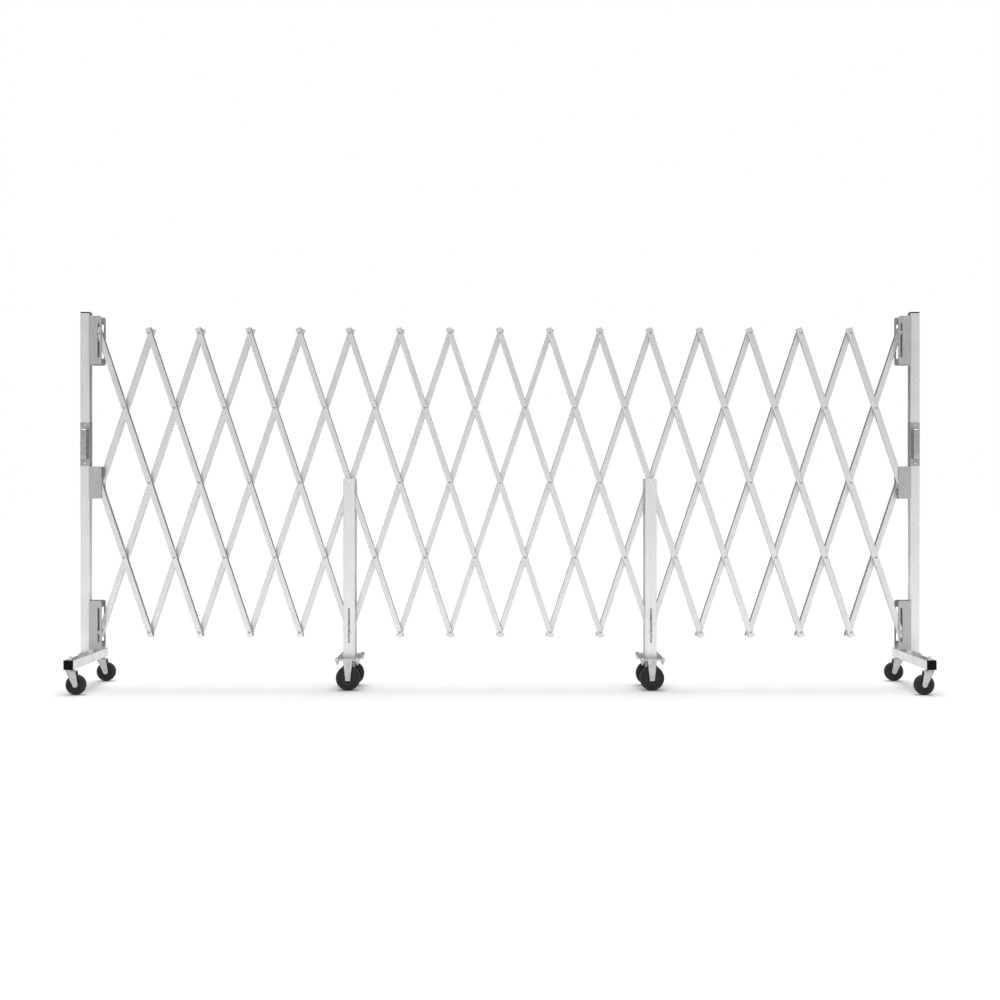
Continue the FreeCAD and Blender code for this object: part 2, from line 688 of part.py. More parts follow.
def foot_plate():
    """Plate under the post, with a spigot that stands inside it."""
    size = ("tube_side", "foot_plate_length", "foot_plate_height")
    base = box("foot_plate_base", size, (POST_X, "0", "foot_top + foot_plate_height / 2"))
    side = "tube_side - 2 * tube_wall - 2 * spigot_clearance"
    middle = (POST_X, "0", "foot_plate_top + spigot_height / 2")
    spigot = box("foot_plate_spigot", (side, side, "spigot_height"), middle)
    bore = "bolt_diameter + 2 * pin_clearance"
    end = "-post_face - post_bolt_length - 2 * cut_margin"
    start = (end, "0", "foot_plate_top + post_bolt_rise")
    tools = [cylinder("spigot_hole", bore, "post_bolt_length + 3 * cut_margin", start, "x")]
    for index, sign in enumerate(("-", "+")):
        start = (POST_X, f"{sign}(foot_plate_length / 2 - foot_bolt_inset)", "foot_top - cut_margin")
        tools.append(cylinder(f"plate_hole_{index}", bore, "foot_plate_height + 2 * cut_margin", start, "z"))
    return cut("foot_plate", fuse("foot_plate_blank", [base, spigot]), tools)


def foot_bolts():
    """Hexagon bolts that hold the foot plate and the post."""
    bolts = []
    for index, sign in enumerate(("-", "+")):
        y = f"{sign}(foot_plate_length / 2 - foot_bolt_inset)"
        start = (POST_X, y, "foot_plate_top")
        top = hexagon(f"foot_bolt_head_{index}", "bolt_head_width", "bolt_head_height", start, "z")
        length = "foot_plate_height + tube_wall + foot_bolt_tail"
        start = (POST_X, y, f"foot_plate_top - ({length})")
        shank = cylinder(f"foot_bolt_shank_{index}", "bolt_diameter", length, start, "z")
        bolts.append(fuse(f"foot_bolt_{index}", [top, shank]))
    z = "foot_plate_top + post_bolt_rise"
    top = hexagon("post_bolt_head", "bolt_head_width", "bolt_head_height", ("-post_face", "0", z), "x")
    start = ("-post_face - post_bolt_length", "0", z)
    shank = cylinder("post_bolt_shank", "bolt_diameter", "post_bolt_length", start, "x")
    bolts.append(fuse("post_bolt", [top, shank]))
    return bolts


def caster_stem(index, sign):
    """Swivel race, threaded stem, kingpin head, washer and nut of one end caster."""
    y = f"{sign}stem_y"
    race_low = "foot_bottom - race_height"
    race = cylinder(f"race_{index}", "race_diameter", "race_height", (POST_X, y, race_low), "z")
    kingpin_top = "swivel_bottom - race_clearance"
    top = "foot_top + washer_height + nut_height + stem_end"
    start = (POST_X, y, f"{kingpin_top} - kingpin_height")
    length = f"{top} - ({kingpin_top}) + kingpin_height"
    stem = cylinder(f"stem_{index}", "stem_diameter", length, start, "z")
    flat = cylinder(f"kingpin_{index}", "kingpin_diameter", "kingpin_height", start, "z")
    start = (POST_X, y, "foot_top")
    washer = cylinder(f"washer_{index}", "washer_diameter", "washer_height", start, "z")
    start = (POST_X, y, "foot_top + washer_height")
    nut = hexagon(f"nut_{index}", "nut_width", "nut_height", start, "z")
    return fuse(f"caster_stem_{index}", [race, stem, flat, washer, nut])


def handle_and_fasteners():
    """Everything that is screwed or bolted to the left end frame."""
    pieces = [pull_handle()] + handle_screws() + [foot_plate()] + foot_bolts()
    pieces += [caster_stem(index, sign) for index, sign in enumerate(("-", ""))]
    return group("left_handle_and_fasteners", pieces)


# ---- casters --------------------------------------------------------------------------------


def axle(name, x, y, z, half_length):
    """A headed axle along Y."""
    start = (x, f"{y} - ({half_length})", z)
    shank = cylinder(f"{name}_shank", "axle_diameter", f"2 * ({half_length})", start, "y")
    low = (x, f"{y} - ({half_length}) - axle_head_height", z)
    front = cylinder(f"{name}_front", "axle_head_diameter", "axle_head_height", low, "y")
    high = (x, f"{y} + ({half_length})", z)
    rear = cylinder(f"{name}_rear", "axle_head_diameter", "axle_head_height", high, "y")
    return fuse(name, [shank, front, rear])


def wheel(name, diameter, width, place):
    """A moulded wheel: bored hub, recessed web and a bevelled solid tread."""
    body = doc.addObject("PartDesign::Body", f"{name}_moulding")
    sketch = new_sketch(body, f"{name}_section", "XY", "0")
    bore = "axle_diameter / 2 + axle_clearance"
    rim = f"{diameter} / 2"
    tread = f"{rim} - tread_height"
    front, rear = [], []
    for side, half in (("-", front), ("", rear)):
        face = f"{side}({width}) / 2"
        web = f"{side}(({width}) / 2 - web_recess)"
        edge = f"{side}(({width}) / 2 - shoulder)"
        half.extend([
            (bore, face),
            ("hub_diameter / 2", face),
            ("hub_diameter / 2 + web_draft", web),
            (f"{tread} - web_draft", web),
            (tread, face),
            (f"{rim} - shoulder / 2", face),
            (rim, edge),
        ])
    outline(sketch, front + rear[::-1])
    turned = body.newObject("PartDesign::Revolution", f"{name}_turned")
    turned.Profile = sketch
    turned.ReferenceAxis = (sketch, ["V_Axis"])
    turned.Angle = 360
    return group(name, [body], place)


def fork_leg(name, top, bottom, place, wall):
    """A tapering fork leg in the XZ plane, from two widths, centred on a Y place."""
    top_x, top_z, top_width = top
    low_x, low_z, low_width = bottom
    line = [
        (f"{top_x} - ({top_width}) / 2", top_z),
        (f"{top_x} + ({top_width}) / 2", top_z),
        (f"{low_x} + ({low_width}) / 2", low_z),
        (f"{low_x} - ({low_width}) / 2", low_z),
    ]
    return padded(name, "XZ", [line], place, wall)


def end_fork(end, sign):
    """Swivel fork of an end caster: a plate under the race and two legs that trail the stem."""
    name = f"left_{end}_caster_fork"
    y = f"{sign}stem_y"
    inside = "(end_wheel_width / 2 + wheel_side_gap)"
    half = f"{inside} + end_fork_wall"
    top_x = "end_fork_shift - post_middle"
    axle_z = "end_wheel_diameter / 2"
    # the swivel plate covers the stem as well as both legs
    size = ("end_fork_top", f"2 * ({half})", "end_fork_wall")
    parts = [box(f"{name}_plate", size, (top_x, y, "swivel_top - end_fork_wall / 2"))]
    for leg, leg_sign in (("front", "-"), ("rear", "+")):
        place = f"{y} {leg_sign} ({inside} + end_fork_wall / 2)"
        top = (top_x, "swivel_top", "end_fork_top")
        bottom = ("axle_x", axle_z, "end_fork_end")
        parts.append(fork_leg(f"{name}_{leg}_leg", top, bottom, place, "end_fork_wall"))
        start = ("axle_x", f"{place} - end_fork_wall / 2", axle_z)
        parts.append(cylinder(f"{name}_{leg}_end", "end_fork_end", "end_fork_wall", start, "y"))
    bore = "axle_diameter + 2 * axle_clearance"
    start = ("axle_x", f"{y} - ({half}) - cut_margin", axle_z)
    tools = [cylinder(f"{name}_axle_hole", bore, f"2 * ({half} + cut_margin)", start, "y")]
    bore = "stem_diameter + 2 * stem_clearance"
    start = (POST_X, y, "swivel_bottom - cut_margin")
    tools.append(cylinder(f"{name}_stem_hole", bore, "end_fork_wall + 2 * cut_margin", start, "z"))
    bent = cut(f"{name}_bent", fuse(f"{name}_blank", parts), tools)
    return group(name, [bent, axle(f"{name}_axle", "axle_x", y, axle_z, half)])


def support_fork(end, sign):
    """Fixed fork under a support's plate."""
    name = f"{end}_support_fork"
    y = f"{sign}wheel_spacing / 2"
    inside = "(support_wheel_width / 2 + wheel_side_gap)"
    half = f"{inside} + support_fork_wall"
    axle_z = "support_wheel_diameter / 2"
    size = ("support_fork_top", f"2 * ({half})", "support_fork_wall")
    parts = [box(f"{name}_web", size, ("0", y, "plate_bottom - support_fork_wall / 2"))]
    for leg, leg_sign in (("front", "-"), ("rear", "+")):
        place = f"{y} {leg_sign} ({inside} + support_fork_wall / 2)"
        top = ("0", "plate_bottom", "support_fork_top")
        bottom = ("0", f"{axle_z} - support_fork_tail", "support_fork_end")
        parts.append(fork_leg(f"{name}_{leg}_leg", top, bottom, place, "support_fork_wall"))
    bore = "axle_diameter + 2 * axle_clearance"
    start = ("0", f"{y} - ({half}) - cut_margin", axle_z)
    hole = cylinder(f"{name}_axle_hole", bore, f"2 * ({half} + cut_margin)", start, "y")
    bent = cut(f"{name}_bent", fuse(f"{name}_blank", parts), [hole])
    return [bent, axle(f"{name}_axle", "0", y, axle_z, half)]


# ---- middle supports -------------------------------------------------------------------------


def support_uprights():
    """Front and rear uprights either side of the lattice, with their common pivot pin."""
    top = "pivot_row + upright_top_margin"
    height = f"{top} - plate_top"
    middle = f"({top} + plate_top) / 2"
    size = ("upright_width", "upright_depth")
    bore = "pin_diameter + 2 * pin_clearance"
    reach = "upright_half_depth + cut_margin"
    pieces = []
    for end, sign in (("front", "-"), ("rear", "")):
        centre = ("0", f"{sign}(side_plane + upright_depth / 2)")
        name = f"{end}_upright"
        plain = tube(f"{name}_tube", "XY", size, "upright_wall", middle, centre, height, "lath_corner")
        start = ("0", f"-({reach})", "pivot_row")
        hole = cylinder(f"{name}_hole", bore, f"2 * ({reach})", start, "y")
        slot = slot_cutter(f"{name}_slot", "0", "lower_bracket", reach)
        pieces.append(cut(name, plain, [hole, slot]))
    support_pin = pin("support_pivot_pin", "upright_half_depth", [BETWEEN])
    pieces.append(group("support_pivot_pin_placed", [support_pin], ("0", "0", "pivot_row")))
    return pieces


def caster_frame():
    """Caster plate with its two fixed forks and four corner bolts."""
    outer = rectangle("support_plate_width", "support_plate_length")
    middle = "plate_bottom + support_plate_height / 2"
    bolt_x = "(support_plate_width / 2 - plate_bolt_inset_x)"
    bolt_y = "(support_plate_length / 2 - plate_bolt_inset_y)"
    rounds = [(outer, "support_plate_corner")]
    plain = padded("caster_plate_sheet", "XY", [outer], middle, "support_plate_height", rounds)
    bore = "plate_bolt_diameter + 2 * pin_clearance"
    holes = []
    bolts = []
    for index, (x_sign, y_sign) in enumerate((("-", "-"), ("", "-"), ("-", ""), ("", ""))):
        x, y = f"{x_sign}{bolt_x}", f"{y_sign}{bolt_y}"
        start = (x, y, "plate_bottom - cut_margin")
        depth = "support_plate_height + 2 * cut_margin"
        holes.append(cylinder(f"caster_plate_hole_{index}", bore, depth, start, "z"))
        name = f"caster_plate_bolt_{index}"
        width = "plate_bolt_head_width"
        tall = "plate_bolt_head_height"
        nut_start = (x, y, f"plate_bottom - {tall}")
        tip_start = (x, y, "plate_bottom - cap_nut_height")
        tip_length = f"cap_nut_height - {tall}"
        shank_length = f"{tall} + support_plate_height"
        bolts.append(fuse(name, [
            hexagon(f"{name}_head", width, tall, (x, y, "plate_top"), "z"),
            cylinder(f"{name}_shank", "plate_bolt_diameter", shank_length, nut_start, "z"),
            hexagon(f"{name}_nut", width, tall, nut_start, "z"),
            taper(f"{name}_tip", "cap_nut_tip", width, tip_length, tip_start),
        ]))
    plate = cut("caster_plate", plain, holes)
    forks = support_fork("front", "-") + support_fork("rear", "")
    return [plate] + forks + bolts


left_frame = [post(), foot_tube(), guide_brackets(), end_caps(), handle_and_fasteners()]
for end, sign in (("front", "-"), ("rear", "")):
    left_frame.append(end_fork(end, sign))
    place = ("axle_x", f"{sign}stem_y", "end_wheel_diameter / 2")
    left_frame.append(wheel(f"left_{end}_caster_wheel", "end_wheel_diameter", "end_wheel_width", place))
nodes += left_frame
for item in left_frame:
    nodes.append(mirrored(item.Name.replace("left", "right", 1), item))

uprights = support_uprights()
casters = caster_frame()
for side, sign in (("left", "-"), ("right", "")):
    place = (f"{sign}support_x", "0", "0")
    nodes.append(group(f"{side}_support_uprights", uprights, place))
    nodes.append(group(f"{side}_support_caster_frame", casters, place))
    for end, end_sign in (("front", "-"), ("rear", "")):
        place = (f"{sign}support_x", f"{end_sign}wheel_spacing / 2", "support_wheel_diameter / 2")
        name = f"{side}_support_{end}_wheel"
        nodes.append(wheel(name, "support_wheel_diameter", "support_wheel_width", place))

doc.recompute()

# ---- checks and export -------------------------------------------------------------------------

for item in doc.Objects:
    if "Invalid" in item.State or "Error" in item.State:
        raise RuntimeError(f"{item.Name} did not recompute: {item.State}")
for node in nodes:
    if node.Shape.isNull() or not node.Shape.isValid():
        raise RuntimeError(f"{node.Label} has no valid shape")
os.makedirs("parts", exist_ok=True)
for node in nodes:
    node.Shape.exportStep(f"parts/{node.Label}.step")
print(f"{len(nodes)} sub-parts written")
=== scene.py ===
"""Looks of an expanding crowd control barrier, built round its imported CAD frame.

Lengths are metres in the row frame: X along the barrier, front towards -Y, Z up.
"""
import math

import bmesh
import bpy
from mathutils import Matrix, Vector


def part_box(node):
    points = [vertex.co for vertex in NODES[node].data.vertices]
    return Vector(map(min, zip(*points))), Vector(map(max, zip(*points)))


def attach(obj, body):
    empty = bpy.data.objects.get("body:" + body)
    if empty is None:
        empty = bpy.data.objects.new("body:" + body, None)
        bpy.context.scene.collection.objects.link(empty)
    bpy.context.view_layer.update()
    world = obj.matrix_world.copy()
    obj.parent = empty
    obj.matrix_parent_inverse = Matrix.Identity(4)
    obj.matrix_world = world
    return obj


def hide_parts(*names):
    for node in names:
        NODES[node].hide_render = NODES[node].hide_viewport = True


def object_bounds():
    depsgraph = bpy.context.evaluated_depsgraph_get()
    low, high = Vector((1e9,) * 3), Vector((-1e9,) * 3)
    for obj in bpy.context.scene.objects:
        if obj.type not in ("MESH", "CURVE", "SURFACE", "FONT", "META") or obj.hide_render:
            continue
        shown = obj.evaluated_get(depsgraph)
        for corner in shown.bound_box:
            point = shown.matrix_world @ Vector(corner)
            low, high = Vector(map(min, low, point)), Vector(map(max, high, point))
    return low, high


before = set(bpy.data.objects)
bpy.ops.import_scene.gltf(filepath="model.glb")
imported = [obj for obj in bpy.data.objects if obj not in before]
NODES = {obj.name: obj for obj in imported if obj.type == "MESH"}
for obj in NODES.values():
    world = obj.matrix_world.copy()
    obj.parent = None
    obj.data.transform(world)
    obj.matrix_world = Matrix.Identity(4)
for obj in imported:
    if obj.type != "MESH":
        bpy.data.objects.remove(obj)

CAD_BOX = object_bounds()
MM = 0.001
SIDES = ("left", "right")
ENDS = ("front", "rear")

# sizes that the CAD frame also has; the lean is in degrees
LATH_LEAN = 18.5
LATH_DEPTH = 25 * MM
LAYER_GAP = 4 * MM
END_WHEEL_RADIUS = 40.5 * MM
SUPPORT_WHEEL_RADIUS = 50 * MM

# ---- node trees ------------------------------------------------------------------------


class Tree:
    """Short calls that add nodes to one node tree and link them."""

    def __init__(self, owner):
        owner.use_nodes = True
        self.tree = owner.node_tree
        self.tree.nodes.clear()

    def add(self, kind, inputs=(), **settings):
        """A node with settings; inputs are (socket, value or output) pairs."""
        node = self.tree.nodes.new(kind)
        for name, value in settings.items():
            setattr(node, name, value)
        for socket, value in dict(inputs).items():
            self.feed(node.inputs[socket], value)
        return node

    def feed(self, socket, value):
        """Link an output into a socket, or set a plain value on it."""
        if isinstance(value, bpy.types.NodeSocket):
            self.tree.links.new(value, socket)
        else:
            socket.default_value = value

    def math(self, operation, *values):
        """The result of a math node."""
        return self.add("ShaderNodeMath", enumerate(values), operation=operation).outputs[0]

    def blend(self, share, low, high):
        """A mix of two colours or of two numbers."""
        coloured = isinstance(low, tuple) or getattr(low, "type", "") == "RGBA"
        kind = "RGBA" if coloured else "FLOAT"
        # the mix node has one set of sockets for each kind
        *ins, out = {"RGBA": (0, 6, 7, 2), "FLOAT": (0, 2, 3, 0)}[kind]
        inputs = zip(ins, (share, low, high))
        return self.add("ShaderNodeMix", inputs, data_type=kind).outputs[out]

    def span(self, value, low, high, to_low=0.0, to_high=1.0):
        """A number carried from one range to another, held at its ends."""
        inputs = enumerate((value, low, high, to_low, to_high))
        return self.add("ShaderNodeMapRange", inputs, interpolation_type="SMOOTHSTEP").outputs[0]


def grey(level, warmth=0.0):
    """A linear grey, a little warmer or cooler."""
    return (level * (1 + warmth), level, level * (1 - warmth), 1.0)


class Finish(Tree):
    """A material's tree with its shader, output and object coordinates."""

    def __init__(self, name, metallic, specular=0.5):
        self.material = bpy.data.materials.new(name)
        super().__init__(self.material)
        self.shader = self.add("ShaderNodeBsdfPrincipled")
        self.shader.inputs["Metallic"].default_value = metallic
        self.shader.inputs["Specular IOR Level"].default_value = specular
        self.add("ShaderNodeOutputMaterial", {"Surface": self.shader.outputs[0]})
        coordinates = self.add("ShaderNodeTexCoord").outputs
        self.point = coordinates["Object"]
        self.normal = coordinates["Normal"]

    def noise(self, size, detail=3.0, turn=(0.0, 0.0, 0.0)):
        """Noise whose grains have one size, or one size along each of three turned axes."""
        scale = (size,) * 3 if isinstance(size, float) else size
        inputs = {"Vector": self.point, "Rotation": turn, "Scale": scale}
        spread = self.add("ShaderNodeMapping", inputs, vector_type="TEXTURE").outputs[0]
        grain = {"Vector": spread, "Scale": 1.0, "Detail": detail}
        return self.add("ShaderNodeTexNoise", grain).outputs["Fac"]

    def bump(self, height, strength, distance):
        """A bump from a height field, on the shader's normal."""
        inputs = {"Height": height, "Strength": strength, "Distance": distance}
        self.link(self.add("ShaderNodeBump", inputs).outputs[0], "Normal")

    def link(self, output, socket):
        """An output into one of the shader's sockets."""
        self.feed(self.shader.inputs[socket], output)


def streaks(width, length, along):
    """Grain sizes for streaks that run along one axis."""
    size = [width] * 3
    size[along] = length
    return size


def extruded(name, level, roughness, side_shade_and_dullness, turn=(0.0, 0.0, 0.0), along=2, rivets=None):
    """Mill-finished aluminium extrusion: die lines along it, patches of duller tone and fine scuffs.

    The walls that face along the barrier are darkened towards black as painted shade, and made
    rougher; those at its front and rear are not.
    """
    finish = Finish(name, metallic=0.92)
    lines = finish.noise(streaks(0.7 * MM, 450 * MM, along), 2.0, turn)
    bands = finish.noise(streaks(5 * MM, 900 * MM, along), 1.0, turn)
    patches = finish.noise((55 * MM, 55 * MM, 90 * MM), 4.0, turn)
    scratches = finish.noise(streaks(9 * MM, 1.2 * MM, along), 5.0, turn)
    scuffs = finish.span(scratches, 0.66, 0.74)
    tone = finish.span(finish.math("ADD", lines, bands), 0.7, 1.3)
    colour = finish.blend(tone, grey(level * 0.93, -0.006), grey(level, -0.004))
    colour = finish.blend(finish.span(patches, 0.45, 0.7), colour, grey(level * 0.95, 0.002))
    colour = finish.blend(finish.math("MULTIPLY", scuffs, 0.25), colour, grey(level * 0.8))
    # painted shade: walls that face along the barrier, told by their normals, are darkened towards
    # black and also made rougher
    facing = finish.add("ShaderNodeSeparateXYZ", {0: finish.normal}).outputs["Y"]
    wall = finish.span(finish.math("ABSOLUTE", facing), 0.8, 0.35)
    colour = finish.blend(finish.math("MULTIPLY", wall, side_shade_and_dullness), colour, grey(0.0))
    rough = finish.span(patches, 0.35, 0.7, roughness - 0.05, roughness + 0.07)
    rough = finish.math("ADD", rough, finish.math("MULTIPLY", wall, 0.4 * side_shade_and_dullness))
    rough = finish.math("ADD", rough, finish.span(lines, 0.3, 0.7, -0.03, 0.03))
    if rivets:
        mask = rivets(finish)
        speckle = finish.noise(1.5 * MM, 4.0)
        steel = finish.blend(speckle, grey(0.42), grey(0.58, 0.01))
        colour = finish.blend(mask, colour, steel)
        rough = finish.blend(mask, rough, finish.span(speckle, 0.3, 0.7, 0.3, 0.42))
    finish.link(colour, "Base Color")
    finish.link(rough, "Roughness")
    finish.bump(finish.math("ADD", lines, scuffs), 0.05, 0.05 * MM)
    return finish.material


def pins_of(layer):
    """A mask that is 1 on the pins of a lath and 0 on its tube, told apart by depth."""
    near = 0.05 * MM
    inner = LAYER_GAP / 2 - near
    outer = LAYER_GAP / 2 + LATH_DEPTH + near

    def mask(finish):
        depth = finish.add("ShaderNodeSeparateXYZ", {0: finish.point}).outputs["Y"]
        inward = finish.math("MULTIPLY", depth, -1.0 if layer == "front" else 1.0)
        beyond = finish.math("GREATER_THAN", inward, outer)
        behind = finish.math("LESS_THAN", inward, inner)
        return finish.math("MAXIMUM", beyond, behind)

    return mask


def galvanised(name, level, roughness):
    """Hot-dip zinc: crystals a few millimetres across, each with its own tone and gloss."""
    finish = Finish(name, metallic=0.85)
    ripple = finish.add("ShaderNodeTexNoise", {"Vector": finish.point, "Scale": 90.0})
    inputs = {0: ripple.outputs["Color"], "Scale": 8 * MM}
    shift = finish.add("ShaderNodeVectorMath", inputs, operation="SCALE").outputs[0]
    warped = finish.add("ShaderNodeVectorMath", {0: finish.point, 1: shift}, operation="ADD")
    crystals = finish.add("ShaderNodeTexVoronoi", {"Vector": warped.outputs[0], "Scale": 150.0})
    tone = finish.add("ShaderNodeSeparateColor", {0: crystals.outputs["Color"]}).outputs[0]
    cloud = finish.noise(40 * MM, 4.0)
    fine = finish.noise(0.8 * MM, 4.0)
    colour = finish.blend(tone, grey(level * 0.9, 0.02), grey(level * 1.06, 0.012))
    colour = finish.blend(finish.span(cloud, 0.4, 0.7), colour, grey(level * 0.97, 0.03))
    finish.link(colour, "Base Color")
    rough = finish.span(tone, 0.0, 1.0, roughness - 0.06, roughness + 0.06)
    finish.link(finish.math("ADD", rough, finish.span(fine, 0.3, 0.7, -0.03, 0.03)), "Roughness")
    finish.bump(finish.math("ADD", fine, finish.math("MULTIPLY", tone, 0.4)), 0.15, 0.08 * MM)
    return finish.material


def plated(name, level, roughness, cloud_size=14 * MM):
    """Bright zinc plate over pressed steel: cloudy tone, fine grain and rubbed streaks."""
    finish = Finish(name, metallic=0.95)
    cloud = finish.noise(cloud_size, 5.0)
    grain = finish.noise(0.9 * MM, 4.0)
    rubs = finish.span(finish.noise((1.1 * MM, 1.1 * MM, 14 * MM), 3.0), 0.56, 0.72)
    tone = finish.span(cloud, 0.32, 0.68)
    colour = finish.blend(tone, grey(level * 0.86, 0.012), grey(level * 1.03, -0.004))
    colour = finish.blend(finish.math("MULTIPLY", rubs, 0.35), colour, grey(level * 1.12, 0.004))
    finish.link(colour, "Base Color")
    rough = finish.span(cloud, 0.3, 0.7, roughness + 0.07, roughness - 0.04)
    finish.link(finish.math("ADD", rough, finish.span(grain, 0.3, 0.7, -0.03, 0.04)), "Roughness")
    finish.bump(finish.math("ADD", grain, finish.math("MULTIPLY", rubs, -0.4)), 0.1, 0.06 * MM)
    return finish.material


def moulded(name):
    """Black moulded plastic with a spark-eroded grain and rubbed patches."""
    finish = Finish(name, metallic=0.0, specular=0.14)
    grain = finish.noise(0.5 * MM, 5.0)
    rubbed = finish.span(finish.noise(12 * MM, 4.0), 0.5, 0.75)
    finish.link(finish.blend(rubbed, grey(0.002), grey(0.006)), "Base Color")
    finish.link(finish.span(rubbed, 0.0, 1.0, 0.6, 0.48), "Roughness")
    finish.bump(grain, 0.35, 0.06 * MM)
    return finish.material


def rubber(name, wheel_radius):
    """Charcoal wheel moulding: fine grain, faint turning rings, and a dusty worn tread."""
    finish = Finish(name, metallic=0.0, specular=0.4)
    parts = finish.add("ShaderNodeSeparateXYZ", {0: finish.point}).outputs
    across = finish.math("MULTIPLY", parts["X"], parts["X"])
    up = finish.math("MULTIPLY", parts["Y"], parts["Y"])
    radius = finish.math("SQRT", finish.math("ADD", across, up))
    worn = finish.span(radius, wheel_radius - 1.6 * MM, wheel_radius - 0.3 * MM)
    grain = finish.noise(0.7 * MM, 5.0)
    smudge = finish.noise(9 * MM, 4.0)
    ring_frequency = 5200.0
    rings = finish.math("SINE", finish.math("MULTIPLY", radius, ring_frequency))
    dust = finish.math("MULTIPLY", worn, finish.span(smudge, 0.35, 0.65, 0.35, 1.0))
    colour = finish.blend(finish.span(smudge, 0.3, 0.7), grey(0.019, 0.01), grey(0.027, 0.02))
    finish.link(finish.blend(dust, colour, grey(0.055, 0.05)), "Base Color")
    rough = finish.span(smudge, 0.3, 0.7, 0.5, 0.62)
    finish.link(finish.math("ADD", rough, finish.math("MULTIPLY", dust, 0.2)), "Roughness")
    height = finish.math("ADD", grain, finish.math("MULTIPLY", rings, 0.25))
    finish.bump(height, 0.25, 0.08 * MM)
    return finish.material


LATH = {}
for layer, hand in (("front", -1), ("rear", 1)):
    turn = (0.0, math.radians(hand * LATH_LEAN), 0.0)
    LATH[layer] = extruded(
        f"{layer}_lath_aluminium", 0.87, 0.33, 0.28, turn, rivets=pins_of(layer)
    )
UPRIGHT = extruded("upright_aluminium", 0.9, 0.33, 0.1)
POST = extruded("post_aluminium", 0.87, 0.32, 0.2)
# painted shade: this aluminium is set darker than the posts' and laths' so that the foot tube's top
# face reads as shaded
FOOT = extruded("foot_aluminium", 0.74, 0.32, 0.0, along=1)
GALVANISED = galvanised("bracket_galvanised_steel", 0.55, 0.42)
HANDLE_ZINC = plated("handle_zinc_plate", 0.49, 0.4)
FORK_ZINC = plated("fork_zinc_plate", 0.66, 0.38)
# a dark zinc that paints the shade inside the forks
FORK_SHADE_ZINC = plated("fork_inside_painted_shade_zinc", 0.2, 0.5)
BRIGHT_ZINC = plated("fastener_bright_zinc", 0.8, 0.26, 5 * MM)
PLASTIC = moulded("cap_black_plastic")

# ---- mesh building ---------------------------------------------------------------------

ROUND_STEPS = 96
SMALL_STEPS = 48


def skinned(rings, closed=False):
    """A mesh over rings of equally many points, capped at both ends or joined end to end."""
    mesh = bmesh.new()
    rows = [[mesh.verts.new(point) for point in ring] for ring in rings]
    pairs = list(zip(rows, rows[1:]))
    if closed:
        pairs.append((rows[-1], rows[0]))
    else:
        mesh.faces.new(rows[0][::-1])
        mesh.faces.new(rows[-1])
    for low, high in pairs:
        for index in range(len(low)):
            following = (index + 1) % len(low)
            mesh.faces.new((low[index], low[following], high[following], high[index]))
    bmesh.ops.recalc_face_normals(mesh, faces=mesh.faces)
    return mesh


def softened_line(points, radius, steps=4):
    """A closed line of points with its corners rounded."""
    line = []
    corners = [Vector(point) for point in points]
    for index, corner in enumerate(corners):
        before = corners[index - 1] - corner
        after = corners[(index + 1) % len(corners)] - corner
        cutback = min(radius, 0.45 * before.length, 0.45 * after.length)
        start = corner + before.normalized() * cutback
        end = corner + after.normalized() * cutback
        for step in range(steps + 1):
            share = step / steps
            rest = 1 - share
            line.append(start * rest**2 + corner * 2 * share * rest + end * share**2)
    return line


def turned(profile, steps=SMALL_STEPS, closed=False):
    """A mesh turned about Z from (radius, height) points."""
    turns = [2 * math.pi * step / steps for step in range(steps)]
    rings = [
        [(radius * math.cos(turn), radius * math.sin(turn), height) for turn in turns]
        for radius, height in profile
    ]
    return skinned(rings, closed)


def hexagonal(width, low, high, chamfer_low=False):
    """A bolt head or nut from its width across flats, with its corners chamfered."""
    side = math.pi / 3
    slope = math.tan(math.radians(30))
    flat_share = 0.94
    flat_radius = width / 2 * flat_share
    turns = [2 * math.pi * step / SMALL_STEPS for step in range(SMALL_STEPS)]
    reach = [width / 2 / math.cos(turn % side - side / 2) for turn in turns]

    def ring(radii, heights):
        return [
            (r * math.cos(turn), r * math.sin(turn), z) for r, z, turn in zip(radii, heights, turns)
        ]

    inner = [flat_radius] * SMALL_STEPS
    drop = [(r - flat_radius) * slope for r in reach]
    rings = [ring(reach, [low] * SMALL_STEPS)]
    if chamfer_low:
        rings = [ring(inner, [low] * SMALL_STEPS), ring(reach, [low + d for d in drop])]
    rings += [ring(reach, [high - d for d in drop]), ring(inner, [high] * SMALL_STEPS)]
    return skinned(rings)


def threaded(diameter, low, high, pitch):
    """A threaded rod with a chamfered tip at its high end."""
    steps = 32
    rows_a_turn = 6
    rows = max(2, round((high - low) / pitch * rows_a_turn))
    depth = 0.55 * pitch
    tip_slope = 0.8
    rings = []
    for row in range(rows + 1):
        height = low + (high - low) * row / rows
        tip = max(0.0, height - (high - pitch)) * tip_slope
        ring = []
        for step in range(steps):
            turn = 2 * math.pi * step / steps
            phase = (height / pitch - step / steps) % 1
            radius = diameter / 2 - depth * abs(2 * phase - 1) - tip
            ring.append((radius * math.cos(turn), radius * math.sin(turn), height))
        rings.append(ring)
    return skinned(rings)


def joined(meshes):
    """Several meshes as one."""
    whole = bmesh.new()
    for part in meshes:
        spare = bpy.data.meshes.new("spare")
        part.to_mesh(spare)
        part.free()
        whole.from_mesh(spare)
        bpy.data.meshes.remove(spare)
    return whole


